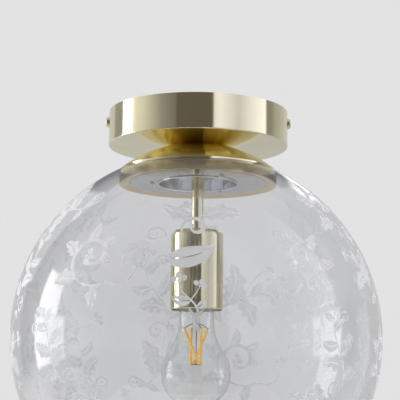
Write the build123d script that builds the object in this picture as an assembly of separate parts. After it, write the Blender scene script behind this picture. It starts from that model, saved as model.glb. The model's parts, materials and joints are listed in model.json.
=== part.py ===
from build123d import *
import os
from math import asin, cos, degrees, radians, sin, sqrt, tan

# Flush mount ceiling light, in millimetres: a drum canopy, a domed cap and an open-bottomed glass globe,
# all clamped on one hollow threaded rod that also carries the lampholder and the bulb.
# The origin is the middle of the ceiling face, +Z points up into the ceiling and the lamp hangs below.

# General clearances
seat_gap = 0.05
gasket_gap = 0.15
thread_gap = 0.05
moving_gap = 0.3
overshoot = 1.0

# Canopy
canopy_radius = 75.0
canopy_height = 29.0
canopy_wall = 1.0
canopy_floor = 1.2
canopy_edge = 0.8
canopy_inner_edge = 0.4

# Side screws that hold the canopy on its bracket
side_screw_drop = 8.0
side_screw_radius = 1.95
side_screw_play = 0.35
side_head_radius = 4.0
side_head_height = 1.8
side_head_crown = 1.0
side_washer_brim = 0.6
side_washer_thickness = 0.5
side_screw_tail = 1.0
cross_length = 4.4
cross_width = 0.9
cross_depth = 0.9

# Ceiling bracket and its weld nuts
bracket_width = 24.0
bracket_thickness = 1.6
bracket_end_gap = 1.4
ear_drop = 15.0
slot_spacing = 100.0
slot_width = 5.0
slot_length = 16.0
cable_hole_radius = 6.0
weld_nut_wall = 1.2
weld_nut_thickness = 3.2

# Terminal block under the bracket
pole_count = 3
pole_pitch = 8.2
block_start = 16.0
block_length = 17.0
block_height = 14.5
block_margin = 4.2
sleeve_radius = 2.5
sleeve_bore = 1.7
sleeve_inset = 0.6
sleeve_height = 5.0
wire_screw_radius = 1.5
wire_screw_inset = 4.2
wire_screw_recess = 0.8
wire_screw_slot = 0.5
fixing_screw_radius = 1.4
fixing_head_radius = 2.4
fixing_head_height = 1.6

# Earth connection on the bracket
earth_place = -22.0
earth_screw_radius = 1.95
earth_head_radius = 3.6
earth_head_height = 2.2
earth_tag_radius = 4.2
earth_tag_thickness = 0.8
earth_neck_width = 3.0
earth_barrel_radius = 1.9
earth_barrel_length = 7.0
earth_barrel_reach = 5.5

# Rod, its collar and the nuts on it
rod_radius = 4.87
rod_wall = 1.2
rod_overrun = 2.0
rod_drop = 50.8
collar_step = 0.8
collar_height = 3.4
nut_wall = 2.0
nut_thickness = 3.5
lock_washer_reach = 4.5
lock_washer_thickness = 0.8
lock_washer_teeth = 12
lock_tooth_depth = 1.4
bushing_wall = 0.85
bushing_brim = 0.8
bushing_flange_thickness = 1.2
bushing_depth = 4.0
sleeve_wall = 3.0

# Domed cap
cap_flat_radius = 21.0
cap_dome_radius = 105.0
cap_rim_radius = 64.5
cap_wall = 1.0
cap_lip = 0.8
cap_gasket_width = 5.0
cap_gasket_inset = 2.5

# Glass globe
globe_radius = 151.5
globe_wall = 2.6
globe_top_hole = 50.0
globe_mouth = 62.0

# Clamp inside the globe
gasket_ledge = 4.7
gasket_rim = 8.4
gasket_depth = 9.9
gasket_lip = 0.9
gasket_cone = 1.6
plate_radius = 57.2
plate_thickness = 1.2
plate_side_gap = 0.4
hub_radius = 32.8
hub_wall = 1.0
hub_height = 9.0
hub_ceiling_thickness = 1.0
hub_flange = 9.4
hub_flange_thickness = 1.0
hub_skirt = 1.2
hub_hole_gap = 0.5
hub_screw_inset = 4.9
hub_screw_count = 3
hub_screw_angle = 60.0
hub_screw_radius = 1.25
hub_head_radius = 2.1
hub_head_height = 1.5
hub_screw_tail = 1.5

# Cup over the lampholder
cup_radius = 21.75
cup_wall = 1.2
cup_top_thickness = 4.0
cup_length = 65.6
cup_shoulder = 4.5
cup_edge = 1.0
cup_edge_share = 0.9

# Lampholder and the strap that carries it
wiring_room = 8.0
holder_side_gap = 2.05
holder_length = 36.0
holder_socket_depth = 23.0
strap_edge = 3.0
strap_margin = 3.0
strap_thickness = 1.5
strap_foot = 7.0
holder_screw_inset = 4.0
holder_screw_radius = 1.4
holder_head_radius = 2.4
holder_head_height = 1.8
holder_screw_length = 9.0
terminal_rod_gap = 1.0
terminal_width = 6.0
terminal_depth = 5.0
terminal_height = 4.5
terminal_post_radius = 1.4
terminal_floor = 0.8
clamp_screw_radius = 1.1
clamp_head_radius = 1.7
clamp_head_height = 1.2
contact_width = 6.0
contact_thickness = 0.5
contact_tail = 3.0
shell_wall = 0.5
shell_end_inset = 2.0
shell_tab_width = 6.0
shell_tab_reach = 7.5

# Bulb
bulb_length = 105.0
tip_gap = 0.5
tip_radius = 5.0
tip_height = 1.2
insulator_cone = 3.5
insulator_height = 5.0
insulator_land = 1.0
bulb_thread_pitch = 3.629
bulb_thread_turns = 4
bulb_crest = 13.1
bulb_thread_depth = 0.7
bulb_shell_wall = 0.45
bulb_shell_skirt = 3.2
bulb_thread_play = 0.4
bulb_wall = 0.8
bulb_ball_radius = 28.5
bulb_neck_radius = 14.3
bulb_neck_taper = 4.0
bulb_neck_length = 6.0
bulb_neck_inset = 4.0
stem_flare = 0.9
stem_radius = 3.2
stem_wall = 0.9
stem_length = 20.0
stem_flare_drop = 7.0
stem_bell_share = 0.25
filament_count = 4
filament_radius = 1.15
filament_head_circle = 10.7
filament_foot_circle = 4.8
filament_rise = 65.2
filament_drop = 29.4
filament_start_angle = 22.0
filament_turn_angle = 100.0
support_radius = 0.4

# Leads inside the lamp
wire_radius = 1.1
wire_play = 0.15
wire_gap = 0.6
wire_clear_of_block = 8.0
wire_rise_over_rod = 4.3
wire_exit = 1.0
wire_approach = 2.0
earth_wire_run = 3.0
wire_bend_share = 0.45

# Sizes that follow from what each piece fits
side_hole_radius = side_screw_radius + side_screw_play
side_washer_radius = side_head_radius + side_washer_brim
weld_nut_across = 2 * (side_hole_radius + weld_nut_wall)
rod_bore = rod_radius - rod_wall
rod_hole_radius = rod_radius + thread_gap
collar_radius = rod_radius + collar_step
nut_across = 2 * (rod_radius + nut_wall)
lock_washer_radius = rod_radius + lock_washer_reach
bushing_sleeve = rod_bore - seat_gap
bushing_bore = bushing_sleeve - bushing_wall
bushing_flange = rod_radius + bushing_brim
cap_lip_radius = cap_rim_radius - cap_wall
cap_gasket_outer = cap_lip_radius - cap_gasket_inset
cap_gasket_inner = cap_gasket_outer - cap_gasket_width
globe_inner = globe_radius - globe_wall
gasket_inner = plate_radius - gasket_ledge
gasket_bore = plate_radius + plate_side_gap
gasket_outer = gasket_bore + gasket_rim
hub_outside = hub_radius + hub_wall
hub_flange_radius = hub_outside + hub_flange
hub_screw_circle = hub_outside + hub_screw_inset
holder_radius = cup_radius - cup_wall - holder_side_gap
strap_width = 2 * (rod_radius + strap_margin)
strap_reach = holder_radius - strap_edge
holder_screw_place = strap_reach - holder_screw_inset
terminal_place = rod_radius + terminal_rod_gap + terminal_depth / 2
bulb_root = bulb_crest - bulb_thread_depth
bulb_shell_bore = bulb_root - bulb_shell_wall
socket_shell_radius = bulb_crest + bulb_thread_play
wire_spacing = wire_radius + wire_gap / 2

# Levels along the axis, from the ceiling down
canopy_bottom = -canopy_height
floor_top = canopy_bottom + canopy_floor
cap_underside = canopy_bottom - cap_wall
dome_centre = canopy_bottom - sqrt(cap_dome_radius**2 - cap_flat_radius**2)
cap_rim_top = dome_centre + sqrt(cap_dome_radius**2 - cap_rim_radius**2)
cap_rim_bottom = cap_rim_top - cap_lip
globe_centre = cap_rim_bottom - seat_gap - sqrt(globe_radius**2 - cap_lip_radius**2)
plate_top = globe_centre + sqrt(globe_inner**2 - gasket_inner**2) - gasket_gap - gasket_depth
plate_bottom = plate_top - plate_thickness
hub_ceiling = plate_top + hub_height
hub_top = hub_ceiling + hub_ceiling_thickness
lock_nut_bottom = floor_top + lock_washer_thickness
rod_top = lock_nut_bottom + nut_thickness + rod_overrun
cup_top = hub_ceiling - rod_drop
cup_inside = cup_top - cup_top_thickness
strap_top = cup_inside - nut_thickness
strap_under = strap_top - strap_thickness
rod_bottom = strap_under - nut_thickness - rod_overrun
holder_top = rod_bottom - wiring_room - terminal_height
holder_bottom = holder_top - holder_length
socket_ceiling = holder_bottom + holder_socket_depth
bulb_top = socket_ceiling - contact_thickness - tip_gap
bulb_bottom = bulb_top - bulb_length
insulator_top = bulb_top - tip_height
insulator_bottom = insulator_top - insulator_height
shell_top = insulator_top - insulator_cone
shell_bottom = shell_top - bulb_thread_turns * bulb_thread_pitch - bulb_shell_skirt

# Places across the axis
ear_face = sqrt((canopy_radius - canopy_wall - bracket_end_gap) ** 2 - (bracket_width / 2) ** 2)
ear_inside = ear_face - bracket_thickness
block_middle = block_start + block_length / 2
block_width = pole_pitch * (pole_count - 1) + 2 * block_margin
block_bottom = -bracket_thickness - block_height
screw_cut_bottom = block_bottom - overshoot
pole_level = block_bottom + sleeve_height
pole_places = [pole_pitch * (pole - (pole_count - 1) / 2) for pole in range(pole_count)]
fixing_place = pole_pitch * (pole_count % 2) / 2
washer_face = canopy_radius + moving_gap
head_face = washer_face + side_washer_thickness + seat_gap


# Shape helpers
def turned(*edges):
    """Solid turned about the Z axis from a closed outline of (radius, height) edges."""
    return revolve(Plane.XZ * make_face(list(edges)), Axis.Z)


def turned_outline(points):
    """Solid turned about the Z axis from a closed outline with straight sides."""
    return revolve(Plane.XZ * make_face(Polyline(*points, close=True)), Axis.Z)


def tube(outer, inner, low, high):
    """Upright tube between two heights."""
    return turned_outline([(inner, low), (outer, low), (outer, high), (inner, high)])


def bar(start, end, radius):
    """Round bar between two points."""
    line = Vector(*end) - Vector(*start)
    return Plane(origin=start, z_dir=line) * extrude(Circle(radius), line.length)


def block(x, y, z):
    """Box between the low and high values of each axis."""
    size = [high - low for low, high in (x, y, z)]
    middle = [(low + high) / 2 for low, high in (x, y, z)]
    return Pos(*middle) * Box(*size)


def hex_nut(across, bore, low, high):
    """Upright hexagon nut between two heights."""
    outline = RegularPolygon(across / 2, 6, major_radius=False) - Circle(bore)
    return Pos(0, 0, low) * extrude(outline, high - low)


def slot_cut(place):
    """Upright cutter for one ceiling slot."""
    outline = SlotOverall(slot_length, slot_width)
    return Pos(place, 0, -2 * bracket_thickness) * extrude(outline, 3 * bracket_thickness)


def sphere_point(radius, centre, angle):
    """Point on a sphere, at an angle in degrees from its top."""
    return (radius * sin(radians(angle)), centre + radius * cos(radians(angle)))


def height_on(radius, centre, place):
    """Height of a sphere's upper half at a distance from the axis."""
    return centre + sqrt(radius**2 - place**2)


def cap_arc(radius, centre, start, end):
    """Arc on a sphere's upper half between two distances from the axis."""
    middle = (start + end) / 2
    places = [(place, height_on(radius, centre, place)) for place in (start, middle, end)]
    return ThreePointArc(*places)


def corner_radii(points):
    """Largest bend radius at each inner point of a route."""
    radii = []
    for before, point, after in zip(points, points[1:], points[2:]):
        arriving = Vector(*point) - Vector(*before)
        leaving = Vector(*after) - Vector(*point)
        half_turn = radians(arriving.get_angle(leaving)) / 2
        radii.append(wire_bend_share * min(arriving.length, leaving.length) / tan(half_turn))
    return radii


def lead(name, points):
    """Insulated lead along straight runs joined by tangent arcs."""
    radii = corner_radii(points)
    path = FilletPolyline(*points, radius=radii)
    print(name, "bend radii", [round(radius, 1) for radius in radii])
    return sweep(Plane(origin=path @ 0, z_dir=path % 0) * Circle(wire_radius), path=path)


def pan_screw(head_radius, head_height, shank_radius, shank_length):
    """Plain screw with its head's underside at the origin and its shank along -Z."""
    head = extrude(Circle(head_radius), head_height)
    head = fillet(head.edges().group_by(Axis.Z)[-1], head_height / 3)
    return head + Pos(0, 0, -shank_length) * extrude(Circle(shank_radius), shank_length)


# Ceiling side
def ceiling_bracket():
    strip = block((-ear_face, ear_face), (-bracket_width / 2, bracket_width / 2), (-bracket_thickness, 0))
    for side in (-1, 1):
        ends = sorted((side * ear_inside, side * ear_face))
        strip += block(ends, (-bracket_width / 2, bracket_width / 2), (-ear_drop, 0))
        strip -= slot_cut(side * slot_spacing / 2)
    across = ((-canopy_radius, 0, -side_screw_drop), (canopy_radius, 0, -side_screw_drop))
    strip -= bar(*across, side_hole_radius)
    for place, radius in (
        ((0, 0), cable_hole_radius),
        ((earth_place, 0), earth_screw_radius + thread_gap),
        ((block_middle, fixing_place), fixing_screw_radius + thread_gap),
    ):
        strip -= bar((*place, -2 * bracket_thickness), (*place, bracket_thickness), radius)
    return strip


def weld_nuts():
    nut = hex_nut(weld_nut_across, side_hole_radius, 0, weld_nut_thickness)
    right = Pos(ear_inside, 0, -side_screw_drop) * Rot(0, -90, 0) * nut
    return [right, mirror(right, Plane.YZ)]


def earth_tag():
    top = -bracket_thickness
    bottom = top - earth_tag_thickness
    ring = Pos(earth_place, 0, 0) * tube(earth_tag_radius, earth_screw_radius + thread_gap, bottom, top)
    barrel_start = earth_place + earth_barrel_reach
    neck_start = earth_place + (earth_screw_radius + earth_tag_radius) / 2
    neck_side = (-earth_neck_width / 2, earth_neck_width / 2)
    neck = block((neck_start, barrel_start + earth_tag_thickness), neck_side, (bottom, top))
    level = top - earth_barrel_radius
    start = (barrel_start, 0, level)
    end = (barrel_start + earth_barrel_length, 0, level)
    barrel = bar(start, end, earth_barrel_radius)
    return ring + neck + barrel - bar(start, end, wire_radius + wire_play)


def earth_screw():
    screw = pan_screw(earth_head_radius, earth_head_height, earth_screw_radius, bracket_thickness)
    return Pos(earth_place, 0, -bracket_thickness - earth_tag_thickness) * Rot(180, 0, 0) * screw


def terminal_screw_places():
    ends = (block_start + wire_screw_inset, block_start + block_length - wire_screw_inset)
    return [(end, pole) for pole in pole_places for end in ends]


def terminal_block():
    body = block(
        (block_start, block_start + block_length),
        (-block_width / 2, block_width / 2),
        (block_bottom, -bracket_thickness),
    )
    for pole in pole_places:
        start = (block_start - overshoot, pole, pole_level)
        end = (block_start + block_length + overshoot, pole, pole_level)
        body -= bar(start, end, sleeve_radius + seat_gap)
    for end, pole in terminal_screw_places():
        body -= bar((end, pole, screw_cut_bottom), (end, pole, pole_level), wire_screw_radius + seat_gap)
    head = fixing_head_radius + seat_gap
    place = (block_middle, fixing_place)
    body -= bar((*place, screw_cut_bottom), (*place, 0), fixing_screw_radius + seat_gap)
    return body - bar((*place, screw_cut_bottom), (*place, block_bottom + fixing_head_height), head)


def terminal_sleeves():
    sleeves = []
    for pole in pole_places:
        start = (block_start + sleeve_inset, pole, pole_level)
        end = (block_start + block_length - sleeve_inset, pole, pole_level)
        sleeve = bar(start, end, sleeve_radius) - bar(start, end, sleeve_bore)
        for place, screw_pole in terminal_screw_places():
            if screw_pole == pole:
                low = (place, pole, screw_cut_bottom)
                sleeve -= bar(low, (place, pole, pole_level), wire_screw_radius + thread_gap)
        sleeves.append(sleeve)
    return sleeves


def terminal_screws():
    low = block_bottom + wire_screw_recess
    high = pole_level - wire_radius - seat_gap
    slot_depth = wire_screw_recess / 2
    screws = []
    for end, pole in terminal_screw_places():
        screw = bar((end, pole, low), (end, pole, high), wire_screw_radius)
        width = (end - wire_screw_slot / 2, end + wire_screw_slot / 2)
        across = (pole - pole_pitch / 2, pole + pole_pitch / 2)
        slot = block(width, across, (low - overshoot, low + slot_depth))
        screws.append(screw - slot)
    return screws


def terminal_fixing_screw():
    length = -bracket_thickness - block_bottom - fixing_head_height + bracket_thickness / 2
    screw = pan_screw(fixing_head_radius, fixing_head_height, fixing_screw_radius, length)
    return Pos(block_middle, fixing_place, block_bottom + fixing_head_height) * Rot(180, 0, 0) * screw


# Canopy and what fastens it
def canopy():
    outer = tube(canopy_radius, 0, canopy_bottom, 0)
    outer = fillet(outer.edges().group_by(Axis.Z)[0], canopy_edge)
    room = tube(canopy_radius - canopy_wall, 0, floor_top, canopy_height)
    room = fillet(room.edges().group_by(Axis.Z)[0], canopy_inner_edge)
    shell = outer - room
    shell -= bar((0, 0, 2 * canopy_bottom), (0, 0, 0), rod_hole_radius)
    start = (-2 * canopy_radius, 0, -side_screw_drop)
    return shell - bar(start, (2 * canopy_radius, 0, -side_screw_drop), side_hole_radius)


def side_screw():
    """Right-hand screw: pan head with a cross recess outside, shank through the ear and its nut."""
    tip = ear_inside - weld_nut_thickness - side_screw_tail
    head = extrude(Circle(side_head_radius), side_head_height)
    head = fillet(head.edges().group_by(Axis.Z)[-1], side_head_crown)
    for length, width in ((cross_length, cross_width), (cross_width, cross_length)):
        cutter = extrude(Rectangle(length, width), 2 * cross_depth)
        head -= Pos(0, 0, side_head_height - cross_depth) * cutter
    head = Pos(head_face, 0, -side_screw_drop) * Rot(0, 90, 0) * head
    return head + bar((tip, 0, -side_screw_drop), (head_face, 0, -side_screw_drop), side_screw_radius)


def side_washer():
    start = (washer_face, 0, -side_screw_drop)
    end = (washer_face + side_washer_thickness, 0, -side_screw_drop)
    return bar(start, end, side_washer_radius) - bar(start, end, side_hole_radius)


def rod_lock_washer():
    ring = tube(lock_washer_radius, rod_hole_radius, floor_top, lock_nut_bottom)
    notch_width = lock_washer_radius * radians(360 / lock_washer_teeth) / 2
    for tooth in range(lock_washer_teeth):
        turn = Rot(0, 0, tooth * 360 / lock_washer_teeth)
        notch = Pos(lock_washer_radius, 0, floor_top)
        notch *= Box(2 * lock_tooth_depth, notch_width, 4 * lock_washer_thickness)
        ring -= turn * notch
    return ring


def rod_bushing():
    flange_top = rod_top + bushing_flange_thickness
    return turned_outline(
        [
            (bushing_bore, rod_top - bushing_depth),
            (bushing_sleeve, rod_top - bushing_depth),
            (bushing_sleeve, rod_top),
            (bushing_flange, rod_top),
            (bushing_flange, flange_top),
            (bushing_bore, flange_top),
        ]
    )


def stem_rod():
    collar_bottom = hub_ceiling - collar_height
    return turned_outline(
        [
            (rod_bore, rod_bottom),
            (rod_radius, rod_bottom),
            (rod_radius, collar_bottom),
            (collar_radius, collar_bottom),
            (collar_radius, hub_ceiling),
            (rod_radius, hub_ceiling),
            (rod_radius, rod_top),
            (rod_bore, rod_top),
        ]
    )


# Cap, globe and clamp
def cap():
    inner_dome = cap_dome_radius - cap_wall
    inner_flat = sqrt(inner_dome**2 - (cap_underside - dome_centre) ** 2)
    inner_rim = height_on(inner_dome, dome_centre, cap_lip_radius)
    rim_foot = height_on(globe_radius, globe_centre, cap_rim_radius) + seat_gap
    lip = Polyline(
        (cap_rim_radius, cap_rim_top),
        (cap_rim_radius, rim_foot),
        (cap_lip_radius, cap_rim_bottom),
        (cap_lip_radius, inner_rim),
    )
    crown = Polyline(
        (inner_flat, cap_underside),
        (rod_hole_radius, cap_underside),
        (rod_hole_radius, canopy_bottom),
        (cap_flat_radius, canopy_bottom),
    )
    return turned(
        cap_arc(cap_dome_radius, dome_centre, cap_flat_radius, cap_rim_radius),
        lip,
        cap_arc(inner_dome, dome_centre, inner_flat, cap_lip_radius),
        crown,
    )


def cap_gasket():
    roof = cap_dome_radius - cap_wall - gasket_gap
    bed = globe_radius + gasket_gap
    sides = [
        Line((place, height_on(bed, globe_centre, place)), (place, height_on(roof, dome_centre, place)))
        for place in (cap_gasket_inner, cap_gasket_outer)
    ]
    top = cap_arc(roof, dome_centre, cap_gasket_inner, cap_gasket_outer)
    return turned(*sides, top, cap_arc(bed, globe_centre, cap_gasket_inner, cap_gasket_outer))


def glass_globe():
    middle = globe_radius - globe_wall / 2
    lip_turn = degrees(globe_wall / 2 / middle)
    top_angle = degrees(asin(globe_top_hole / middle))
    mouth_angle = 180 - degrees(asin(globe_mouth / middle))
    wall_angles = (top_angle, 90, mouth_angle)
    walls = [
        ThreePointArc(*(sphere_point(radius, globe_centre, angle) for angle in wall_angles))
        for radius in (globe_radius, globe_inner)
    ]
    lips = [
        ThreePointArc(
            sphere_point(globe_radius, globe_centre, angle),
            sphere_point(middle, globe_centre, angle + turn),
            sphere_point(globe_inner, globe_centre, angle),
        )
        for angle, turn in ((top_angle, -lip_turn), (mouth_angle, lip_turn))
    ]
    return turned(*walls, *lips)


def globe_gasket():
    bed = globe_inner - gasket_gap
    lip_bottom = plate_top - gasket_lip
    sides = Polyline(
        (gasket_outer, height_on(bed, globe_centre, gasket_outer)),
        (gasket_outer, lip_bottom - gasket_cone),
        (gasket_bore, lip_bottom),
        (gasket_bore, plate_top),
        (gasket_inner, plate_top),
        (gasket_inner, height_on(bed, globe_centre, gasket_inner)),
    )
    return turned(cap_arc(bed, globe_centre, gasket_inner, gasket_outer), sides)


def hub_screw_angles():
    return [hub_screw_angle + screw * 360 / hub_screw_count for screw in range(hub_screw_count)]


def hub_holes(low, high):
    """Cutters for the screws round the hub."""
    hole = hub_screw_radius + thread_gap
    return [
        Rot(0, 0, angle) * bar((hub_screw_circle, 0, low), (hub_screw_circle, 0, high), hole)
        for angle in hub_screw_angles()
    ]


def clamp_plate():
    plate = tube(plate_radius, hub_outside + hub_hole_gap, plate_bottom, plate_top)
    for cutter in hub_holes(plate_bottom - overshoot, plate_top + overshoot):
        plate -= cutter
    return plate


def hub_cup():
    skirt_bottom = plate_bottom - hub_skirt
    flange_top = plate_top + hub_flange_thickness
    round_start = skirt_bottom + hub_wall / 2
    rim = ThreePointArc(
        (hub_radius, round_start), (hub_radius + hub_wall / 2, skirt_bottom), (hub_outside, round_start)
    )
    walls = Polyline(
        (hub_outside, round_start),
        (hub_outside, plate_top),
        (hub_flange_radius, plate_top),
        (hub_flange_radius, flange_top),
        (hub_outside, flange_top),
        (hub_outside, hub_top),
        (rod_hole_radius, hub_top),
        (rod_hole_radius, hub_ceiling),
        (hub_radius, hub_ceiling),
        (hub_radius, round_start),
    )
    hub = turned(rim, walls)
    for cutter in hub_holes(plate_top - overshoot, flange_top + overshoot):
        hub -= cutter
    return hub


def hub_screws():
    length = plate_thickness + hub_flange_thickness + hub_screw_tail
    screw = pan_screw(hub_head_radius, hub_head_height, hub_screw_radius, length)
    screw = Pos(hub_screw_circle, 0, plate_bottom) * Rot(180, 0, 0) * screw
    return [Rot(0, 0, angle) * screw for angle in hub_screw_angles()]


# Cup and lampholder
def socket_cup():
    outside = tube(cup_radius, 0, cup_top - cup_length, cup_top)
    outside = fillet(outside.edges().group_by(Axis.Z)[-1], cup_shoulder)
    cup = outside - tube(cup_radius - cup_wall, 0, cup_top - 2 * cup_length, cup_inside)
    cup -= bar((0, 0, cup_inside - overshoot), (0, 0, cup_top + overshoot), rod_hole_radius)
    rim = cup.edges().filter_by(GeomType.CIRCLE).group_by(Axis.Z)[0].sort_by(SortBy.RADIUS)[-1]
    return fillet(rim, min(cup_edge, cup_edge_share * cup_wall))


def holder_bracket():
    side = (-strap_width / 2, strap_width / 2)
    strap = block((-strap_reach, strap_reach), side, (strap_under, strap_top))
    for sign in (-1, 1):
        leg = sorted((sign * (strap_reach - strap_thickness), sign * strap_reach))
        foot = sorted((sign * (strap_reach - strap_foot), sign * strap_reach))
        strap += block(leg, side, (holder_top, strap_top))
        strap += block(foot, side, (holder_top, holder_top + strap_thickness))
        place = sign * holder_screw_place
        hole = holder_screw_radius + thread_gap
        strap -= bar((place, 0, holder_top - overshoot), (place, 0, holder_top + 2 * strap_thickness), hole)
    return strap - bar((0, 0, strap_under - overshoot), (0, 0, strap_top + overshoot), rod_hole_radius)


def holder_body():
    body = tube(holder_radius, 0, holder_bottom, holder_top)
    body -= tube(socket_shell_radius + shell_wall + seat_gap, 0, holder_bottom - overshoot, socket_ceiling)
    for sign in (-1, 1):
        screw_place = sign * holder_screw_place
        floor = holder_top - holder_screw_length
        screw_hole = holder_screw_radius + thread_gap
        body -= bar((screw_place, 0, floor), (screw_place, 0, holder_top + overshoot), screw_hole)
        post_place = sign * terminal_place
        post_hole = terminal_post_radius + thread_gap
        low = (0, post_place, socket_ceiling - overshoot)
        body -= bar(low, (0, post_place, holder_top + overshoot), post_hole)
    return body


def holder_screws():
    length = strap_thickness + holder_screw_length - seat_gap
    screw = pan_screw(holder_head_radius, holder_head_height, holder_screw_radius, length)
    screw = Pos(holder_screw_place, 0, holder_top + strap_thickness) * screw
    return [screw, mirror(screw, Plane.YZ)]


def terminal(sign):
    """Brass terminal on the porcelain, with a post down to its contact."""
    middle = sign * terminal_place
    side = (middle - terminal_depth / 2, middle + terminal_depth / 2)
    top = holder_top + terminal_height
    body = block((-terminal_width / 2, terminal_width / 2), side, (holder_top, top))
    wire_end = (0, middle, holder_top + terminal_floor)
    body -= bar(wire_end, (0, middle, top + overshoot), wire_radius + wire_play)
    outside = sign * (terminal_place + terminal_depth)
    level = holder_top + terminal_height / 2
    body -= bar((0, middle, level), (0, outside, level), clamp_screw_radius + thread_gap)
    return body + bar((0, middle, socket_ceiling), (0, middle, holder_top), terminal_post_radius)


def holder_terminal_screws():
    level = holder_top + terminal_height / 2
    outside = terminal_place + terminal_depth / 2
    length = terminal_depth / 2 - wire_radius - wire_play
    screw = pan_screw(clamp_head_radius, clamp_head_height, clamp_screw_radius, length)
    screw = Pos(0, outside, level) * Rot(-90, 0, 0) * screw
    return [screw, mirror(screw, Plane.XZ)]


def centre_contact():
    side = (-contact_width / 2, contact_width / 2)
    reach = (-contact_tail, terminal_place + terminal_post_radius)
    return block(side, reach, (socket_ceiling - contact_thickness, socket_ceiling))


def screw_shell():
    outside = socket_shell_radius + shell_wall
    shell = tube(outside, socket_shell_radius, holder_bottom + shell_end_inset, socket_ceiling)
    side = (-shell_tab_width / 2, shell_tab_width / 2)
    reach = (-socket_shell_radius - shell_wall / 2, -shell_tab_reach)
    return shell + block(side, reach, (socket_ceiling - contact_thickness, socket_ceiling))


# Bulb
def bulb_tip_contact():
    tip = tube(tip_radius, 0, insulator_top, bulb_top)
    return fillet(tip.edges().group_by(Axis.Z)[-1], tip_height / 2)


def bulb_insulator():
    edge = bulb_shell_bore - seat_gap
    return turned_outline(
        [
            (0, insulator_bottom),
            (edge, insulator_bottom),
            (edge, shell_top),
            (tip_radius + insulator_land, insulator_top),
            (0, insulator_top),
        ]
    )


def bulb_shell():
    """Threaded shell of the bulb, with its thread as rounded ridges."""
    ridges = []
    for turn in range(bulb_thread_turns):
        high = shell_top - turn * bulb_thread_pitch
        low = high - bulb_thread_pitch
        ridges.append(ThreePointArc((bulb_root, high), (bulb_crest, (high + low) / 2), (bulb_root, low)))
    thread_end = shell_top - bulb_thread_turns * bulb_thread_pitch
    rest = Polyline(
        (bulb_root, thread_end),
        (bulb_root, shell_bottom),
        (bulb_shell_bore, shell_bottom),
        (bulb_shell_bore, shell_top),
        (bulb_root, shell_top),
    )
    return turned(*ridges, rest)


def bulb_outline(inset):
    """Edges of the bulb's wall from its neck to its bottom, set in by a distance."""
    end_radius = bulb_shell_bore - seat_gap - inset
    neck = bulb_neck_radius - inset
    ball = bulb_ball_radius - inset
    ball_centre = bulb_bottom + bulb_ball_radius
    neck_top = shell_bottom - bulb_neck_taper
    neck_bottom = neck_top - bulb_neck_length
    rise = neck_bottom - ball_centre
    widening = bulb_ball_radius - bulb_neck_radius
    hollow = (bulb_neck_radius**2 + rise**2 - bulb_ball_radius**2) / (2 * widening)
    hollow_centre = Vector(bulb_neck_radius + hollow, neck_bottom)
    towards_ball = (Vector(0, ball_centre) - hollow_centre).normalized()
    touch = hollow_centre + towards_ball * (hollow + inset)
    between = (towards_ball + Vector(-1, 0)).normalized()
    side = Polyline((end_radius, shell_bottom + bulb_neck_inset), (end_radius, shell_bottom),
                    (neck, neck_top), (neck, neck_bottom))
    waist = ThreePointArc((neck, neck_bottom), hollow_centre + between * (hollow + inset), touch)
    half_way = sphere_point(ball, ball_centre, (90 + 180) / 2)
    return [side, waist, ThreePointArc(touch, half_way, (0, ball_centre - ball))]


def bulb_glass():
    outside = bulb_outline(0)
    inside = bulb_outline(bulb_wall)
    neck_end = Line(outside[0] @ 0, inside[0] @ 0)
    bottom = Line(outside[-1] @ 1, inside[-1] @ 1)
    return turned(*outside, *inside, neck_end, bottom)


def bulb_stem():
    top = shell_bottom + bulb_neck_inset
    edge = bulb_shell_bore - bulb_wall - 2 * seat_gap
    foot = shell_bottom - stem_length
    waist = shell_bottom - stem_flare_drop
    bore = stem_radius - stem_wall
    press_top = foot + 2 * stem_radius
    flare = Line((edge, top), (edge, top - stem_flare))
    bell_middle = (stem_radius + stem_bell_share * (edge - stem_radius), waist + stem_radius)
    bell = ThreePointArc((edge, top - stem_flare), bell_middle, (stem_radius, waist))
    end_centre = foot + stem_radius
    post = Line((stem_radius, waist), (stem_radius, end_centre))
    end_middle = sphere_point(stem_radius, end_centre, (90 + 180) / 2)
    end = ThreePointArc((stem_radius, end_centre), end_middle, (0, foot))
    inside = Polyline((0, foot), (0, press_top), (bore, press_top), (bore, waist))
    shift = stem_wall / sqrt(2)
    inner_middle = (bell_middle[0] - shift, bell_middle[1] + shift)
    inner_bell = ThreePointArc((bore, waist), inner_middle, (edge, top))
    return turned(flare, bell, post, end, inside, inner_bell)


def filament_ends():
    """Upper and lower end of each filament."""
    top = bulb_bottom + filament_rise
    ends = []
    for index in range(filament_count):
        head = radians(filament_start_angle + index * 360 / filament_count)
        foot = head + radians(filament_turn_angle)
        upper = (filament_head_circle * cos(head), filament_head_circle * sin(head), top)
        lower = (filament_foot_circle * cos(foot), filament_foot_circle * sin(foot), top - filament_drop)
        ends.append((upper, lower))
    return ends


def filaments():
    return [bar(upper, lower, filament_radius) for upper, lower in filament_ends()]


def filament_supports():
    stem_end = shell_bottom - stem_length
    hub_level = bulb_bottom + filament_rise - filament_drop
    spider = bar((0, 0, hub_level - support_radius), (0, 0, stem_end - seat_gap), support_radius)
    share = (stem_radius + support_radius) / filament_head_circle
    arms = []
    for (upper, lower), filament in zip(filament_ends(), filaments()):
        spider += bar((0, 0, hub_level), lower, support_radius)
        spider -= filament
        root = (upper[0] * share, upper[1] * share, stem_end + 2 * stem_radius)
        arms.append(bar(root, upper, support_radius) - filament)
    return [spider, *arms]


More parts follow.
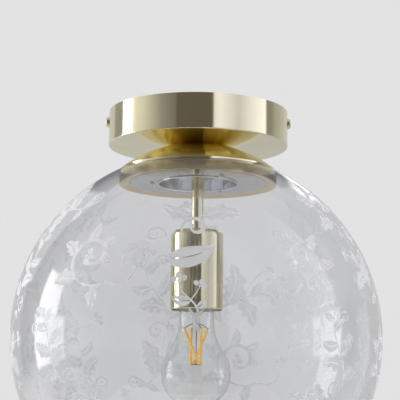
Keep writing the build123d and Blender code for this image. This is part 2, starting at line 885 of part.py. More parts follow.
# Leads
def lamp_lead(name, sign):
    """Lead from an outer pole, down through the rod, to one lampholder terminal."""
    pole = sign * pole_places[-1]
    offset = sign * wire_spacing
    terminal_top = holder_top + terminal_height
    return lead(
        name,
        [
            (block_start + wire_screw_inset, pole, pole_level),
            (wire_clear_of_block, pole, pole_level),
            (0, offset, rod_top + bushing_flange_thickness + wire_rise_over_rod),
            (0, offset, rod_bottom - wire_exit),
            (0, sign * terminal_place, terminal_top + wire_approach),
            (0, sign * terminal_place, holder_top + terminal_floor + wire_play),
        ],
    )


def earth_lead():
    level = -bracket_thickness - earth_barrel_radius
    start = earth_place + earth_barrel_reach
    return lead(
        "earth_wire",
        [
            (start + wire_play, 0, level),
            (start + earth_barrel_length + earth_wire_run, 0, level),
            (wire_clear_of_block - earth_wire_run, 0, pole_level),
            (block_start + wire_screw_inset, 0, pole_level),
        ],
    )


right_screw = side_screw()
right_washer = side_washer()
nodes = {
    "ceiling_bracket": ceiling_bracket(),
    "weld_nuts": weld_nuts(),
    "earth_tag": earth_tag(),
    "earth_screw": earth_screw(),
    "terminal_block": terminal_block(),
    "terminal_sleeves": terminal_sleeves(),
    "terminal_screws": terminal_screws(),
    "terminal_fixing_screw": terminal_fixing_screw(),
    "canopy": canopy(),
    "right_canopy_screw": right_screw,
    "right_screw_washer": right_washer,
    "left_canopy_screw": mirror(right_screw, Plane.YZ),
    "left_screw_washer": mirror(right_washer, Plane.YZ),
    "rod_lock_washer": rod_lock_washer(),
    "rod_lock_nut": hex_nut(nut_across, rod_hole_radius, lock_nut_bottom, lock_nut_bottom + nut_thickness),
    "rod_bushing": rod_bushing(),
    "stem_rod": stem_rod(),
    "distance_sleeve": tube(rod_radius + sleeve_wall, rod_hole_radius, hub_top, cap_underside),
    "cap": cap(),
    "cap_gasket": cap_gasket(),
    "glass_globe": glass_globe(),
    "globe_gasket": globe_gasket(),
    "clamp_plate": clamp_plate(),
    "hub_cup": hub_cup(),
    "hub_screws": hub_screws(),
    "socket_cup": socket_cup(),
    "cup_nut": hex_nut(nut_across, rod_hole_radius, strap_top, cup_inside),
    "holder_bracket": holder_bracket(),
    "bracket_nut": hex_nut(nut_across, rod_hole_radius, strap_under - nut_thickness, strap_under),
    "holder_body": holder_body(),
    "holder_screws": holder_screws(),
    "live_terminal": terminal(1),
    "neutral_terminal": terminal(-1),
    "holder_terminal_screws": holder_terminal_screws(),
    "centre_contact": centre_contact(),
    "screw_shell": screw_shell(),
    "bulb_tip_contact": bulb_tip_contact(),
    "bulb_insulator": bulb_insulator(),
    "bulb_shell": bulb_shell(),
    "bulb_glass": bulb_glass(),
    "bulb_stem": bulb_stem(),
    "filaments": filaments(),
    "filament_supports": filament_supports(),
    "live_wire": lamp_lead("live_wire", 1),
    "neutral_wire": lamp_lead("neutral_wire", -1),
    "earth_wire": earth_lead(),
}

os.makedirs("parts", exist_ok=True)
for name, shape in nodes.items():
    piece = Compound(children=shape) if isinstance(shape, list) else shape
    export_step(piece, f"parts/{name}.step")
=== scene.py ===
import json
import math
import random

import bmesh
import bpy
from mathutils import Matrix, Vector


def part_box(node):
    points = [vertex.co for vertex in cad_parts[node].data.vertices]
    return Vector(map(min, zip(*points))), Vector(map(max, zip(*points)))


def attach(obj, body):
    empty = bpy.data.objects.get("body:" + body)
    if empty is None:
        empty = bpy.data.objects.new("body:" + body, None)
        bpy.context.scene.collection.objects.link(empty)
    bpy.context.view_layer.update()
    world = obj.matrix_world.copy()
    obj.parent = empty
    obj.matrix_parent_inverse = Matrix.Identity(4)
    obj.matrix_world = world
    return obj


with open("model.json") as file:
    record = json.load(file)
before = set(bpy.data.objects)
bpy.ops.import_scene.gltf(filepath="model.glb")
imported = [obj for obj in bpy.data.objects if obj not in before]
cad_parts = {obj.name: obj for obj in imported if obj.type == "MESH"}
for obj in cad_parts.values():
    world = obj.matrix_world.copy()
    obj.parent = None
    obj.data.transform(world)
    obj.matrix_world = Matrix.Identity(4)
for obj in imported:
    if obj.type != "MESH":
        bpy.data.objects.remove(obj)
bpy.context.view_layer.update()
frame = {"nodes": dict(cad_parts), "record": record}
nodes = frame["nodes"]
slot_of = {part["node"]: part["material_slot"] for part in frame["record"]["subparts"]}

# Camera at the photograph's place: below the lamp's middle, looking up at it
camera_place = Vector((0.0, -1.0388, -0.2474))
camera_pitch = 0.1657
camera_yaw = 0.0019
camera_roll = 0.0098
image_width = 400
focal_pixels = 1260.7
sensor_width = 36.0

# Walls of the studio at eye level: direction in degrees from the camera's side, positive to the right,
# and brightness
studio_walls = [
    (-180, 0.64),
    (-136, 0.58),
    (-134, 0.34),
    (-113, 0.32),
    (-93, 0.93),
    (-74, 0.70),
    (-47, 0.29),
    (-28.5, 0.20),
    (-27.5, 0.13),
    (18, 0.12),
    (20, 0.86),
    (27, 0.96),
    (52, 0.63),
    (77, 0.97),
    (95, 1.20),
    (97, 0.26),
    (109, 0.29),
    (114, 0.40),
    (150, 0.60),
    (180, 0.64),
]
# The same lower down, and the heights in degrees between which it takes over
studio_below = [
    (-180, 0.50),
    (-140, 0.85),
    (-115, 1.10),
    (-76, 0.20),
    (18, 0.12),
    (46, 0.52),
    (180, 0.50),
]
below_start = -5.0
below_end = -14.0
# Brightness overhead, and the heights in degrees between which it takes over
overhead_level = 0.70
overhead_start = 40.0
overhead_end = 65.0
# Tint of walls darker than a level, and of the walls between two directions on the right
dark_tint = (1.0, 0.87, 0.63)
dark_level = 0.28
cool_tint = (1.03, 1.06, 1.22)
cool_side = (20, 95)

# Panels of the studio, later ones in front of earlier ones: direction at the horizon and height in degrees,
# each from and to, lean to the left per degree of height, softness of the edge and brightness
panels = [
    ((-187, -132), (16, 45), 0, 1.5, 0.74),
    ((-240, -187), (15, 46), -1, 1.5, 0.12),
    ((192, 240), (15, 46), 1, 1.5, 0.10),
    ((184, 191), (20, 36), 1, 3.0, 2.0),
    ((-112, -93), (8, 24), 0, 1.0, 4.0),
    ((-114, -86), (-10, 8), 0, 1.0, 3.6),
]
# How many mirrorings deep the panels still show
panel_images = 2

# Backdrop seen past the lamp, and the floor far below it
backdrop_colour = (0.765, 0.765, 0.775, 1.0)
floor_colour = (0.80, 0.80, 0.80)
floor_drop = 2.4
floor_half_width = 3.0
floor_lift = 0.30

# How often light may pass or mirror on its way through the glass and between the brass pieces
light_bounces = 24
mirror_bounces = 12


def camera():
    """Camera set by its direction of view and its roll."""
    forward = Vector(
        (
            math.sin(camera_yaw) * math.cos(camera_pitch),
            math.cos(camera_yaw) * math.cos(camera_pitch),
            math.sin(camera_pitch),
        )
    )
    level_right = forward.cross(Vector((0, 0, 1))).normalized()
    level_up = level_right.cross(forward)
    right = math.cos(camera_roll) * level_right + math.sin(camera_roll) * level_up
    up = right.cross(forward)
    data = bpy.data.cameras.new("camera")
    data.sensor_width = sensor_width
    data.lens = focal_pixels / image_width * sensor_width
    eye = bpy.data.objects.new("camera", data)
    bpy.context.scene.collection.objects.link(eye)
    turn = Matrix((right, up, -forward)).transposed()
    eye.matrix_world = Matrix.Translation(camera_place) @ turn.to_4x4()
    bpy.context.scene.camera = eye


class Graph:
    """Short way to add and join shader nodes."""

    def __init__(self, tree):
        self.tree = tree

    def node(self, kind, inputs=(), **settings):
        made = self.tree.nodes.new(kind)
        for name, value in settings.items():
            setattr(made, name, value)
        for socket, value in dict(inputs).items():
            self.set(made.inputs[socket], value)
        return made

    def set(self, socket, value):
        """Joins another node's output to a socket, or sets a plain value on it."""
        if isinstance(value, bpy.types.NodeSocket):
            self.tree.links.new(value, socket)
        else:
            socket.default_value = value

    def math(self, operation, *values):
        made = self.node("ShaderNodeMath", enumerate(values), operation=operation)
        return made.outputs[0]

    def product(self, first, *others):
        result = first
        for other in others:
            result = self.math("MULTIPLY", result, other)
        return result

    def at_most(self, value, count):
        """One where a whole number is no more than a count, else zero."""
        return self.math("LESS_THAN", value, count + 0.5)

    def range(self, value, low, high, to_low=0.0, to_high=1.0, smooth=True):
        made = self.node(
            "ShaderNodeMapRange",
            {"Value": value, "From Min": low, "From Max": high, "To Min": to_low, "To Max": to_high},
            interpolation_type="SMOOTHSTEP" if smooth else "LINEAR",
        )
        return made.outputs["Result"]

    def ramp(self, value, stops):
        made = self.node("ShaderNodeValToRGB", {"Fac": value})
        elements = made.color_ramp.elements
        while len(elements) < len(stops):
            elements.new(1.0)
        for element, (place, colour) in zip(elements, stops):
            element.position = place
            element.color = colour
        return made.outputs["Color"]

    def mix(self, factor, first, second):
        made = self.node("ShaderNodeMix", data_type="RGBA")
        self.set(made.inputs["Factor"], factor)
        self.set(made.inputs[6], first)
        self.set(made.inputs[7], second)
        return made.outputs[2]

    def place(self):
        """Place on the object, in metres."""
        return self.node("ShaderNodeTexCoord").outputs["Object"]

    def noise(self, place, scale, detail):
        made = self.node("ShaderNodeTexNoise", {"Vector": place, "Scale": scale, "Detail": detail})
        return made.outputs["Fac"]

    def bump(self, height, strength, depth):
        made = self.node("ShaderNodeBump", {"Height": height, "Strength": strength, "Distance": depth})
        return made.outputs[0]


def grey(level):
    """Colour of a plain brightness."""
    return (level, level, level, 1.0)


def wall_stops(walls):
    """Ramp stops for the studio's brightness, warmer where it is dark and cooler on its bright right."""
    stops = []
    for angle, level in walls:
        light = min(level / dark_level, 1.0)
        colour = [level * (light + (1 - light) * share) for share in dark_tint]
        if cool_side[0] <= angle <= cool_side[1]:
            colour = [value * share for value, share in zip(colour, cool_tint)]
        stops.append(((angle + 180) / 360, (*colour, 1.0)))
    return stops


def wall_light(graph, azimuth, elevation):
    """Light of the walls, from overhead and from lower down."""
    place = graph.range(azimuth, -180.0, 180.0, smooth=False)
    light = graph.ramp(place, wall_stops(studio_walls))
    above = graph.range(elevation, overhead_start, overhead_end)
    light = graph.mix(above, light, grey(overhead_level))
    below = graph.range(elevation, below_start, below_end)
    return graph.mix(below, light, graph.ramp(place, wall_stops(studio_below)))


def panel_light(graph, azimuth, elevation, near_image, light):
    """The walls' light with the panels before them, in the first mirror images only."""
    for (left, right), (low, high), lean, edge, brightness in panels:
        across = graph.math("ADD", azimuth, graph.product(elevation, float(lean)))
        mask = graph.product(
            near_image,
            graph.range(across, left - edge, left + edge),
            graph.range(across, right + edge, right - edge),
            graph.range(elevation, low - edge, low + edge),
            graph.range(elevation, high + edge, high - edge),
        )
        light = graph.mix(mask, light, grey(brightness))
    return light


def studio():
    """World that shows a pale backdrop directly and through glass, and the studio in reflections."""
    world = bpy.data.worlds.new("studio")
    world.use_nodes = True
    bpy.context.scene.world = world
    graph = Graph(world.node_tree)
    world.node_tree.nodes.clear()
    coordinates = graph.node("ShaderNodeTexCoord")
    split = graph.node("ShaderNodeSeparateXYZ", {"Vector": coordinates.outputs["Generated"]})
    x, y, z = split.outputs
    azimuth = graph.math("DEGREES", graph.math("ARCTAN2", x, graph.product(y, -1.0)))
    elevation = graph.math("DEGREES", graph.math("ARCSINE", z))
    path = graph.node("ShaderNodeLightPath")
    near_image = graph.at_most(path.outputs["Glossy Depth"], panel_images)
    light = wall_light(graph, azimuth, elevation)
    light = panel_light(graph, azimuth, elevation, near_image, light)
    through_glass = graph.product(
        graph.at_most(path.outputs["Glossy Depth"], 0),
        graph.at_most(path.outputs["Diffuse Depth"], 0),
        path.outputs["Is Transmission Ray"],
    )
    direct = graph.math("MAXIMUM", through_glass, path.outputs["Is Camera Ray"])
    colour = graph.mix(direct, light, backdrop_colour)
    background = graph.node("ShaderNodeBackground", {"Color": colour})
    output = graph.node("ShaderNodeOutputWorld")
    world.node_tree.links.new(background.outputs[0], output.inputs["Surface"])


# Usual spread of a noise's values
noise_low = 0.3
noise_high = 0.7

# Turned metals: colour, roughness, strength of the hair lines and stretch of the highlights round the axis
turned_metals = {
    "satin_brass": ((0.90, 0.828, 0.575), 0.11, 0.06, 0.85),
    "brass_fitting": ((0.84, 0.75, 0.50), 0.25, 0.2, 0.3),
    "chrome": ((0.80, 0.81, 0.82), 0.06, 0.06, 0.3),
}
# Their hair lines, across and around the axis, their cloudy wear and how far the sheen changes with both
hair_fineness = 4200.0
hair_around = 5.0
hair_detail = 3.0
hair_depth = 0.00002
cloud_fineness = 30.0
cloud_detail = 4.0
cloud_shade = 0.94
turned_sheen_change = 0.25
quarter_turn = 0.25
least_radius = 0.0001

# Other metals: colour, roughness, contrast of the mottling, its fineness and strength of the grain
plain_metals = {
    "zinc_steel": ((0.62, 0.63, 0.65), 0.32, 0.10, 260.0, 0.1),
    "grey_plate": ((0.43, 0.43, 0.44), 0.10, 0.03, 300.0, 0.02),
    "bulb_cap_metal": ((0.66, 0.65, 0.62), 0.22, 0.06, 240.0, 0.1),
    "support_wire": ((0.30, 0.30, 0.31), 0.30, 0.1, 400.0, 0.1),
}
# Silicone, plastic, porcelain, vitrite and the leads' insulation, in the same columns
plastics = {
    "clear_silicone": ((0.70, 0.68, 0.64), 0.40, 0.05, 200.0, 0.1),
    "white_plastic": ((0.78, 0.78, 0.76), 0.45, 0.03, 300.0, 0.1),
    "porcelain": ((0.82, 0.81, 0.78), 0.14, 0.03, 120.0, 0.03),
    "black_vitrite": ((0.02, 0.02, 0.025), 0.12, 0.2, 200.0, 0.03),
    "brown_insulation": ((0.16, 0.07, 0.03), 0.42, 0.06, 500.0, 0.1),
    "blue_insulation": ((0.03, 0.10, 0.42), 0.42, 0.06, 500.0, 0.1),
    "green_yellow_insulation": ((0.35, 0.50, 0.06), 0.42, 0.06, 500.0, 0.1),
}
# The filaments, the etched ornament and the floor, in the same columns
filament_finish = ((1.0, 0.62, 0.15), 0.5, 0.12, 900.0, 0.1)
etched_finish = ((0.82, 0.82, 0.825), 0.75, 0.02, 500.0, 0.2)
floor_finish = (floor_colour, 0.8, 0.01, 6.0, 0.02)
# Painted glow of the filaments, though the bulb is not lit: its colour and strength
filament_painted_glow = (1.0, 0.55, 0.1, 1.0)
filament_painted_glow_strength = 0.25
etched_clearness = 0.85
# Mottling of all of these, how far the sheen changes with it, and the finer grain in it
mottle_detail = 6.0
mottled_sheen_change = 0.15
grain_finer = 8
grain_detail = 3.0
grain_depth = 0.00005

# Glass: colour, strength of its waves and their fineness
clear_glass = {
    "globe_glass": ((0.880, 0.882, 0.887), 0.05, 9.0),
    "bulb_clear_glass": ((0.97, 0.975, 0.975), 0.04, 25.0),
}
glass_index = 1.5
wave_detail = 1.0
wave_depth = 0.0005

# Beige silicone ring: painted shade on its outer wall, where it presses on the glass, and its own colour on
# its bare sides
gasket_shaded_wall = (0.36, 0.325, 0.275)
gasket_bare = (0.82, 0.65, 0.43)
gasket_dust = 0.92
gasket_fineness = 200.0
gasket_rough = (0.45, 0.6)
gasket_gloss = 0.2
# How far outward a face turns where the painted shade of the ring's outer wall begins, and where it is full
gasket_wall = (0.3, 0.7)


def material(name, colour, **sockets):
    """Material with one principled shader, its plain values set on the shader itself."""
    made = bpy.data.materials.new(name)
    made.use_nodes = True
    shader = made.node_tree.nodes["Principled BSDF"]
    shader.inputs["Base Color"].default_value = (*colour, 1.0)
    for socket, value in sockets.items():
        shader.inputs[socket.replace("_", " ")].default_value = value
    return made, Graph(made.node_tree), shader


def scaled(colour, share):
    """Colour made darker or lighter, as a shader takes it."""
    return (*(min(1.0, value * share) for value in colour), 1.0)


def turned_coordinates(graph):
    """Coordinates that change fast along a turned surface's outline and slowly around its axis."""
    x, y, z = graph.node("ShaderNodeSeparateXYZ", {"Vector": graph.place()}).outputs
    square = graph.math("ADD", graph.product(x, x), graph.product(y, y))
    radius = graph.math("SQRT", square)
    outline = graph.product(graph.math("SUBTRACT", radius, z), hair_fineness)
    safe = graph.math("MAXIMUM", radius, least_radius)
    cosine = graph.product(graph.math("DIVIDE", x, safe), hair_around)
    sine = graph.product(graph.math("DIVIDE", y, safe), hair_around)
    joined = graph.node("ShaderNodeCombineXYZ", {"X": cosine, "Y": sine, "Z": outline})
    return joined.outputs[0]


def brushed_metal(name, colour, rough, grain, anisotropic):
    """Turned metal: hair lines round the axis, with soft cloudy wear in its sheen."""
    made, graph, shader = material(
        name, colour, Metallic=1.0, Anisotropic=anisotropic, Anisotropic_Rotation=quarter_turn
    )
    lines = graph.noise(turned_coordinates(graph), 1.0, hair_detail)
    clouds = graph.noise(graph.place(), cloud_fineness, cloud_detail)
    smooth = rough * (1 - turned_sheen_change)
    dull = rough * (1 + turned_sheen_change)
    both = graph.math("ADD", lines, clouds)
    sheen = graph.range(both, 2 * noise_low, 2 * noise_high, smooth, dull, False)
    worn = graph.range(clouds, noise_low, noise_high)
    around = graph.node("ShaderNodeTangent", direction_type="RADIAL", axis="Z")
    graph.set(shader.inputs["Roughness"], sheen)
    graph.set(shader.inputs["Base Color"], graph.mix(worn, scaled(colour, cloud_shade), (*colour, 1.0)))
    graph.set(shader.inputs["Normal"], graph.bump(lines, grain, hair_depth))
    graph.set(shader.inputs["Tangent"], around.outputs[0])
    return made


def mottled(name, colour, rough, contrast, fineness, grain, **sockets):
    """Surface with a fine mottled colour, sheen and grain."""
    made, graph, shader = material(name, colour, **sockets)
    place = graph.place()
    spots = graph.noise(place, fineness, mottle_detail)
    bright = graph.range(spots, noise_low, noise_high)
    smooth = rough * (1 - mottled_sheen_change)
    dull = rough * (1 + mottled_sheen_change)
    sheen = graph.range(spots, noise_low, noise_high, smooth, dull, False)
    relief = graph.noise(place, fineness * grain_finer, grain_detail)
    dark, light = scaled(colour, 1 - contrast), scaled(colour, 1 + contrast)
    graph.set(shader.inputs["Base Color"], graph.mix(bright, dark, light))
    graph.set(shader.inputs["Roughness"], sheen)
    graph.set(shader.inputs["Normal"], graph.bump(relief, grain, grain_depth))
    return made


def glass(name, colour, waviness, fineness):
    """Clear blown glass whose surface waves very slightly."""
    made, graph, shader = material(name, colour, Roughness=0.0, IOR=glass_index, Transmission_Weight=1.0)
    waves = graph.noise(graph.place(), fineness, wave_detail)
    graph.set(shader.inputs["Normal"], graph.bump(waves, waviness, wave_depth))
    return made


def gasket_rubber(name, shaded, bare):
    """Silicone with painted shade on its outer wall, where it presses on the glass, and its own colour on
    its bare sides.
    """
    made, graph, shader = material(name, bare, Specular_IOR_Level=gasket_gloss)
    place = graph.place()
    spots = graph.noise(place, gasket_fineness, mottle_detail)
    level = graph.node("ShaderNodeVectorMath", {0: place, 1: (1.0, 1.0, 0.0)}, operation="MULTIPLY")
    outward = graph.node("ShaderNodeVectorMath", {0: level.outputs[0]}, operation="NORMALIZE")
    normal = graph.node("ShaderNodeNewGeometry").outputs["Normal"]
    facing = graph.node("ShaderNodeVectorMath", {0: normal, 1: outward.outputs[0]}, operation="DOT_PRODUCT")
    # Painted shade: faces that turn outward take the darker colour of the outer wall
    shaded_side = graph.range(facing.outputs["Value"], *gasket_wall)
    clean = graph.range(spots, noise_low, noise_high)
    dusty = graph.mix(clean, scaled(bare, gasket_dust), (*bare, 1.0))
    sheen = graph.range(spots, noise_low, noise_high, *gasket_rough, False)
    graph.set(shader.inputs["Base Color"], graph.mix(shaded_side, dusty, (*shaded, 1.0)))
    graph.set(shader.inputs["Roughness"], sheen)
    return made


def all_finishes():
    """One material for each material slot of the record."""
    made = {}
    for name, row in turned_metals.items():
        made[name] = brushed_metal(name, *row)
    for name, row in plain_metals.items():
        made[name] = mottled(name, *row, Metallic=1.0)
    for name, row in plastics.items():
        made[name] = mottled(name, *row)
    for name, row in clear_glass.items():
        made[name] = glass(name, *row)
    made["beige_silicone"] = gasket_rubber("beige_silicone", gasket_shaded_wall, gasket_bare)
    # The filaments get a painted glow, though the bulb is not lit
    made["led_filament"] = mottled(
        "led_filament", *filament_finish, Emission_Color=filament_painted_glow, Emission_Strength=filament_painted_glow_strength
    )
    return made


def dress_nodes():
    """Gives each CAD node its finish."""
    finishes = all_finishes()
    for name, node in nodes.items():
        node.data.materials.clear()
        node.data.materials.append(finishes[slot_of[name]])
        if slot_of[name] in clear_glass:
            node.visible_shadow = False


# Etched ornament on the globe: sprays of leaves, curls and trefoil flowers, in millimetres on the glass
globe_low, globe_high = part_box("glass_globe")
globe_mouth_radius = 0.062
globe_radius = (globe_high[0] - globe_low[0]) / 2
globe_centre = Vector((0, 0, globe_low[2] + math.sqrt(globe_radius**2 - globe_mouth_radius**2)))
millimetre = 0.001
# Plates of the etching: their faces from the glass's surface in metres, and points across a plate
etch_outside = 0.00010
etch_inside = -0.00002
etch_across = 4
# Least half width of a plate, half width of a leaf's clear vein and least width of a leaf beside it
least_half = 0.06
vein = 0.35
least_beside = 0.05
# Outlines: share that a stem tapers, how a curl and a scroll start, swell and taper, and a curl's bud
stem_taper = 0.55
curl_shape = (0.45, 0.75, 0.25)
scroll_shape = (0.35, 0.75, 0.0)
curl_bud = 1.3
# Leaf: its bend's two places along it, fullness near its foot and over its length, and depth of its lobes
leaf_bends = (0.35, 0.7)
leaf_foot = 0.8
leaf_fullness = 0.85
lobe_depth = 0.24
# Trefoil: its petals' directions in degrees, their start, end and half width, and its centre's half width
trefoil_turns = (-68, 0, 68)
petal_start = 0.3
petal_end = 1.3
petal_half = 0.42
trefoil_centre = 0.24

# Rows of sprays: height above the globe's middle in degrees, how many, and the first one's direction
spray_rows = [(42, 6, 0), (20, 11, 0), (-5, 12, 14), (-29, 11, 3), (-51, 8, 22)]
spray_scale = (0.85, 1.15)
spray_turn = 35
spray_seed = 5
# Spray before the cup: its direction and height in degrees, and how far the others stay from it
front_place = (-3, 16)
front_clear = 27

# Leaves along a climbing spray's stem: point of the stem, angle, length, width, bend and lobes
climbing_leaves = [
    (3, 18, 20, 5.0, 0.12, 3),
    (6, 150, 24, 6.0, -0.12, 3),
    (11, 40, 22, 5.5, -0.14, 3),
    (14, 166, 18, 4.6, 0.14, 0),
    (18, 30, 16, 4.0, 0.12, 0),
    (21, 140, 12, 3.2, -0.12, 0),
]
# Leaves along a bough, in the same columns
bough_leaves = [
    (9, 74, 40, 9.5, -0.12, 4),
    (13, -52, 28, 7.0, 0.14, 3),
    (17, 46, 18, 4.6, -0.14, 0),
    (4, 118, 15, 3.8, 0.12, 0),
    (5, -70, 14, 3.6, -0.12, 0),
]
# Leaves round a scroll: point of the spiral, angle from its run, length, width and lobes
scroll_leaves = [
    (1, -50, 18, 4.4, 3),
    (5, -34, 21, 5.4, 3),
    (9, -42, 18, 4.8, 3),
    (13, -36, 16, 4.2, 0),
    (17, -40, 13, 3.6, 0),
    (21, -40, 10, 3.0, 0),
]
scroll_bend = 0.14


def spot(*place):
    """Point in the plane of a spray."""
    return Vector(place)


def curve(start, first, second, end, count=16):
    """Points along a cubic curve in the plane of a spray."""
    points = []
    for step in range(count + 1):
        t = step / count
        s = 1 - t
        points.append(s**3 * start + 3 * s * s * t * first + 3 * s * t * t * second + t**3 * end)
    return points


def spiral(centre, angle, turns, outer, inner, count=26):
    """Points along a spiral that winds in round a centre."""
    points = []
    for step in range(count + 1):
        t = step / count
        turn = math.radians(angle + 360 * turns * t)
        radius = outer * (inner / outer) ** t
        points.append(centre + radius * spot(math.cos(turn), math.sin(turn)))
    return points


def swelling(start, swell, taper):
    """Width along a strand that starts thin, swells in its middle and may taper off."""
    return lambda t: start + swell * math.sin(math.pi * t) - taper * t


class Etching:
    """Thin closed plates on the globe, drawn in the plane of the spray that is being laid."""

    def __init__(self):
        self.points = []
        self.faces = []

    def lay(self, azimuth, height, turn, scale, mirror):
        """Sets the place on the globe, the turn and the size of the shapes that follow."""
        azimuth, height = math.radians(azimuth), math.radians(height)
        outward = Vector((math.sin(azimuth), -math.cos(azimuth), 0))
        self.east = Vector((math.cos(azimuth), math.sin(azimuth), 0))
        self.middle = math.cos(height) * outward + math.sin(height) * Vector((0, 0, 1))
        self.north = self.middle.cross(self.east)
        self.turn = math.radians(turn)
        self.scale = scale * millimetre / globe_radius
        self.mirror = mirror

    def on_globe(self, place, depth):
        """Point of the spray's plane bent onto the globe."""
        angle = place.length * self.scale
        way = math.atan2(place.y, place.x * self.mirror) + self.turn
        direction = math.cos(way) * self.east + math.sin(way) * self.north
        normal = math.cos(angle) * self.middle + math.sin(angle) * direction
        return globe_centre + (globe_radius + depth) * normal

    def strip(self, path, low, high):
        """One plate between two distances from a path, which both change along it."""
        rows = []
        last = len(path) - 1
        shares = [step / (etch_across - 1) for step in range(etch_across)]
        for index, point in enumerate(path):
            along = (path[min(index + 1, last)] - path[max(index - 1, 0)]).normalized()
            side = spot(-along.y, along.x)
            spread = high[index] - low[index]
            rows.append([point + side * (low[index] + spread * share) for share in shares])
        first = len(self.points)
        layer = len(rows) * etch_across
        for depth in (etch_outside, etch_inside):
            self.points += [self.on_globe(place, depth) for row in rows for place in row]
        for row in range(last):
            for column in range(etch_across - 1):
                corner = first + row * etch_across + column
                face = (corner, corner + 1, corner + etch_across + 1, corner + etch_across)
                self.faces += [face, tuple(vertex + layer for vertex in reversed(face))]
        ring = list(range(etch_across))
        ring += [row * etch_across + etch_across - 1 for row in range(1, len(rows))]
        ring += [last * etch_across + column for column in reversed(range(etch_across - 1))]
        ring += [row * etch_across for row in reversed(range(1, last))]
        for one, two in zip(ring, ring[1:] + ring[:1]):
            self.faces.append((first + one, first + one + layer, first + two + layer, first + two))

    def blade(self, path, width, shape):
        """Plate as wide as a shape says along its path."""
        last = len(path) - 1
        half = [max(width * shape(index / last), least_half) for index in range(last + 1)]
        self.strip(path, [-value for value in half], half)

    def stem(self, path, width):
        """Strand that tapers to its end."""
        self.blade(path, width, lambda t: 1 - stem_taper * t)

    def curl(self, centre, angle, turns, outer, inner, width):
        """Tendril that winds in and ends in a round bud."""
        path = spiral(centre, angle, turns, outer, inner)
        self.blade(path, width, swelling(*curl_shape))
        bud = curl_bud * width
        self.petal(path[-1] - spot(bud, 0), path[-1] + spot(bud, 0), bud)

    def petal(self, start, end, width):
        """Round plate from one end to the other."""
        third = (end - start) / 3
        path = curve(start, start + third, end - third, end, count=10)
        self.blade(path, width, lambda t: math.sqrt(max(math.sin(math.pi * t), 0.0)))

    def leaf(self, start, angle, length, width, bend, lobes=0):
        """Pointed leaf on both sides of a clear vein, its tip bent sideways and its edge plain or lobed."""
        way = spot(math.cos(math.radians(angle)), math.sin(math.radians(angle)))
        side = spot(-way.y, way.x)
        bulge = bend * length * side
        first, second = (start + way * length * share + bulge for share in leaf_bends)
        path = curve(start, first, second, start + way * length - bulge, count=22)
        last = len(path) - 1
        half = []
        for index in range(last + 1):
            t = index / last
            swell = math.sin(math.pi * t**leaf_foot) ** leaf_fullness if 0 < index < last else 0.0
            notch = lobe_depth * math.cos(2 * math.pi * lobes * t) if lobes else 0.0
            half.append(max(width * swell * (1 - notch), vein + least_beside))
        self.strip(path, [vein] * len(half), half)
        self.strip(path, [-value for value in half], [-vein] * len(half))

    def trefoil(self, place, angle, size):
        """Three round petals and a centre."""
        for turn in trefoil_turns:
            way = math.radians(angle + turn)
            petal = spot(math.cos(way), math.sin(way))
            start, end = place + petal * size * petal_start, place + petal * size * petal_end
            self.petal(start, end, size * petal_half)
        centre = size * trefoil_centre
        self.petal(place - spot(centre, 0), place + spot(centre, 0), centre)


def climbing_spray(etching):
    """Upright stem with leaves to both sides, a curl at its foot and a trefoil at its top."""
    path = curve(spot(0, -36), spot(15, -14), spot(-15, 8), spot(3, 30), count=24)
    etching.stem(path, width=0.9)
    for index, *shape in climbing_leaves:
        etching.leaf(path[index], *shape)
    etching.curl(spot(-9, -34), angle=0, turns=1.25, outer=9, inner=2.2, width=1.0)
    etching.trefoil(spot(3, 31), angle=84, size=6.0)
    etching.curl(spot(14, 22), angle=190, turns=-1.1, outer=7, inner=1.8, width=0.8)


def scroll_spray(etching):
    """Spiral stem with leaves round its outside, a trefoil inside and one on a side stem."""
    path = spiral(spot(0, 0), angle=-120, turns=1.35, outer=25, inner=5, count=34)
    etching.blade(path, width=1.5, shape=swelling(*scroll_shape))
    for index, lean, length, width, lobes in scroll_leaves:
        outward = math.degrees(math.atan2(path[index].y, path[index].x))
        etching.leaf(path[index], outward + 90 + lean, length, width, scroll_bend, lobes)
    etching.trefoil(path[-1], angle=200, size=5.4)
    etching.stem(curve(path[0], spot(-24, -30), spot(-34, -22), spot(-37, -10)), width=0.8)
    etching.trefoil(spot(-37, -9), angle=100, size=5.0)


def bough_spray(etching):
    """Broad leaf with small leaves, trefoils and a curl on a bent stem."""
    path = curve(spot(-34, -14), spot(-14, -26), spot(4, 4), spot(30, -4), count=24)
    etching.stem(path, width=1.0)
    for index, *shape in bough_leaves:
        etching.leaf(path[index], *shape)
    etching.trefoil(spot(31, -4), angle=-8, size=6.0)
    etching.stem(curve(path[15], spot(12, 10), spot(18, 18), spot(28, 20)), width=0.6)
    etching.trefoil(spot(28, 20), angle=30, size=4.6)
    etching.curl(spot(-34, -6), angle=-90, turns=-1.2, outer=8, inner=2.0, width=0.9)


def front_spray(etching):
    """Spray before the cup: a broad leaf, leaves and curls above it and trefoils on a forked stem below."""
    etching.leaf(spot(-16, 6), angle=12, length=38, width=8.2, bend=-0.10)
    etching.curl(spot(6, 32), angle=200, turns=-1.1, outer=11, inner=3.2, width=1.6)
    etching.leaf(spot(2, 44), angle=158, length=24, width=5.0, bend=0.14)
    etching.leaf(spot(10, 42), angle=14, length=30, width=7.0, bend=0.12, lobes=3)
    path = curve(spot(9, -34), spot(8, -24), spot(-6, -22), spot(-5, -11))
    etching.stem(path, width=0.8)
    etching.trefoil(spot(-5, -11), angle=96, size=5.0)
    etching.stem(curve(path[5], spot(2, -25), spot(9, -20), spot(10, -15)), width=0.6)
    etching.trefoil(spot(10, -15), angle=70, size=4.4)
    etching.leaf(path[6], angle=176, length=14, width=3.8, bend=0.12)
    etching.leaf(path[2], angle=40, length=9, width=2.6, bend=-0.12)
    etching.curl(spot(-24, 26), angle=-20, turns=1.1, outer=9, inner=2.2, width=0.9)
    etching.leaf(spot(-26, 18), angle=205, length=26, width=6.0, bend=-0.12, lobes=3)


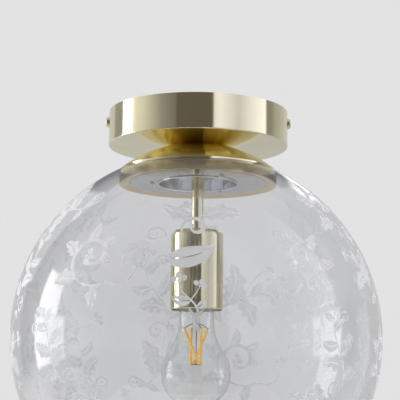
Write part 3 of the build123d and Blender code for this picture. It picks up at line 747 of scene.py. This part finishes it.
def draw_sprays():
    """Sprays in staggered rows round the globe, each a little different, and one before the cup."""
    chance = random.Random(spray_seed)
    kinds = (climbing_spray, scroll_spray, bough_spray)
    etching = Etching()
    etching.lay(*front_place, turn=0, scale=1.0, mirror=1)
    front = etching.middle
    front_spray(etching)
    drawn = 0
    for height, count, start in spray_rows:
        for index in range(count):
            azimuth = start + index * 360 / count
            turn = chance.uniform(-spray_turn, spray_turn)
            scale = chance.uniform(*spray_scale)
            mirror = chance.choice((-1, 1))
            etching.lay(azimuth, height, turn, scale, mirror)
            if math.degrees(etching.middle.angle(front)) > front_clear:
                kinds[drawn % len(kinds)](etching)
            drawn += 1
    return etching


def ornament():
    """Etched ornament as one piece of frosted glass that rides with the globe."""
    etching = draw_sprays()
    mesh = bpy.data.meshes.new("globe_ornament")
    mesh.from_pydata(etching.points, [], etching.faces)
    shapes = bmesh.new()
    shapes.from_mesh(mesh)
    bmesh.ops.recalc_face_normals(shapes, faces=shapes.faces)
    shapes.to_mesh(mesh)
    shapes.free()
    etched = bpy.data.objects.new("globe_ornament", mesh)
    bpy.context.scene.collection.objects.link(etched)
    mesh.materials.append(mottled("etched_glass", *etched_finish, Transmission_Weight=etched_clearness))
    etched.visible_shadow = False
    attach(etched, "lamp")


def floor():
    """Plain pale floor far below the lamp, seen as pale as the backdrop."""
    half = floor_half_width
    corners = [(-half, -half, -floor_drop), (half, -half, -floor_drop)]
    corners += [(half, half, -floor_drop), (-half, half, -floor_drop)]
    mesh = bpy.data.meshes.new("floor")
    mesh.from_pydata(corners, [], [(0, 1, 2, 3)])
    plane = bpy.data.objects.new("floor", mesh)
    bpy.context.scene.collection.objects.link(plane)
    paint = mottled("floor", *floor_finish, Emission_Color=grey(1.0))
    graph = Graph(paint.node_tree)
    path = graph.node("ShaderNodeLightPath")
    seen = graph.math("MAXIMUM", path.outputs["Is Camera Ray"], path.outputs["Is Transmission Ray"])
    shader = paint.node_tree.nodes["Principled BSDF"]
    graph.set(shader.inputs["Emission Strength"], graph.product(seen, floor_lift))
    # The lift is only seen: it lights nothing
    paint.cycles.emission_sampling = "NONE"
    mesh.materials.append(paint)


dress_nodes()
camera()
studio()
ornament()
floor()
bpy.context.scene.view_settings.view_transform = "Standard"
bpy.context.scene.cycles.max_bounces = light_bounces
bpy.context.scene.cycles.glossy_bounces = mirror_bounces
bpy.context.scene.cycles.transmission_bounces = light_bounces
